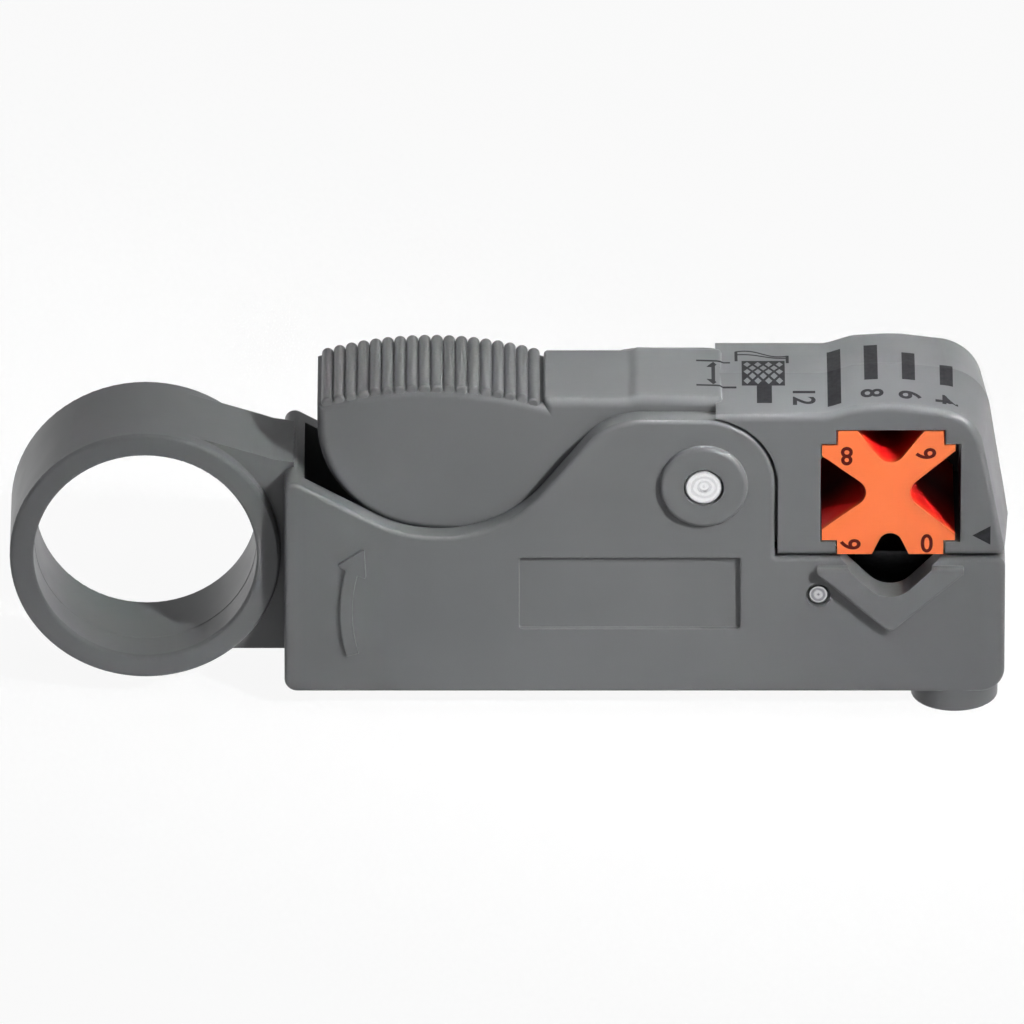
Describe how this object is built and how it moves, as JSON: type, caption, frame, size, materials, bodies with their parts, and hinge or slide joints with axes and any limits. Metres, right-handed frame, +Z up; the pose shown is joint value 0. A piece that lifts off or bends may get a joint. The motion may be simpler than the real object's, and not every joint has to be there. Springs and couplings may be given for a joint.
{
  "type": "coaxial cable stripper",
  "caption": "Hand tool that clamps a coaxial cable in a V groove and is turned round it by a finger ring to strip it in steps.",
  "frame": {"origin": "middle of the tool's outline seen from above, at the underside of the screw boss", "axes": "+X towards the nose, +Y across the tool along the cable, +Z up"},
  "size_m": [0.0999, 0.019, 0.0351],
  "materials": {
    "grey_plastic": "satin",
    "orange_plastic": "satin",
    "bright_steel": "polished",
    "arm_steel": "satin",
    "blade_steel": "ground",
    "screw_steel": "polished",
    "spring_steel": "drawn",
    "black_steel": "satin"
  },
  "bodies": {
    "body": {"main_body": "grey_plastic", "pivot_pin": "bright_steel", "hinge_pin": "bright_steel", "return_spring": "spring_steel", "arm_spacer_1": "bright_steel", "arm_spacer_2": "bright_steel", "arm_spacer_3": "bright_steel", "arm_spacer_4": "bright_steel"},
    "lever": {"jaw_lever": "grey_plastic", "v_block": "orange_plastic"},
    "arm_1": {"blade_arm_1": "arm_steel", "blade_1": "blade_steel", "blade_screw_1": "screw_steel"},
    "screw_1": {"adjusting_screw_1": "black_steel"},
    "arm_2": {"blade_arm_2": "arm_steel", "blade_2": "blade_steel", "blade_screw_2": "screw_steel"},
    "screw_2": {"adjusting_screw_2": "black_steel"},
    "arm_3": {"blade_arm_3": "arm_steel", "blade_3": "blade_steel", "blade_screw_3": "screw_steel"},
    "screw_3": {"adjusting_screw_3": "black_steel"}
  },
  "joints": [
    {"name": "lever_open", "type": "hinge", "parent": "body", "child": "lever", "pos_m": [0.01937, 0, 0.02535], "axis": [0, -1, 0], "range_deg": [0, 15], "stiffness_Nm_per_rad": 0.95, "springref_deg": -9.17, "deforming": ["return_spring"]},
    {"name": "screw_1_turn", "type": "hinge", "parent": "body", "child": "screw_1", "pos_m": [0.04458, -0.00455, 0], "axis": [0, 0, 1], "range_deg": [0, 360]},
    {"name": "arm_1_tilt", "type": "hinge", "parent": "body", "child": "arm_1", "pos_m": [0.03087, -0.00455, 0.013], "axis": [0, -1, 0], "range_deg": [0, 2.1]},
    {"name": "screw_2_turn", "type": "hinge", "parent": "body", "child": "screw_2", "pos_m": [0.04458, -0.00055, 0], "axis": [0, 0, 1], "range_deg": [0, 360]},
    {"name": "arm_2_tilt", "type": "hinge", "parent": "body", "child": "arm_2", "pos_m": [0.03087, -0.00055, 0.013], "axis": [0, -1, 0], "range_deg": [0, 2.1]},
    {"name": "screw_3_turn", "type": "hinge", "parent": "body", "child": "screw_3", "pos_m": [0.04458, 0.00345, 0], "axis": [0, 0, 1], "range_deg": [0, 360]},
    {"name": "arm_3_tilt", "type": "hinge", "parent": "body", "child": "arm_3", "pos_m": [0.03087, 0.00345, 0.013], "axis": [0, -1, 0], "range_deg": [0, 2.1]}
  ],
  "couplings": [
    {"joint": "arm_1_tilt", "follows": "screw_1_turn", "ratio": 0.005809},
    {"joint": "arm_2_tilt", "follows": "screw_2_turn", "ratio": 0.005809},
    {"joint": "arm_3_tilt", "follows": "screw_3_turn", "ratio": 0.005809}
  ]
}
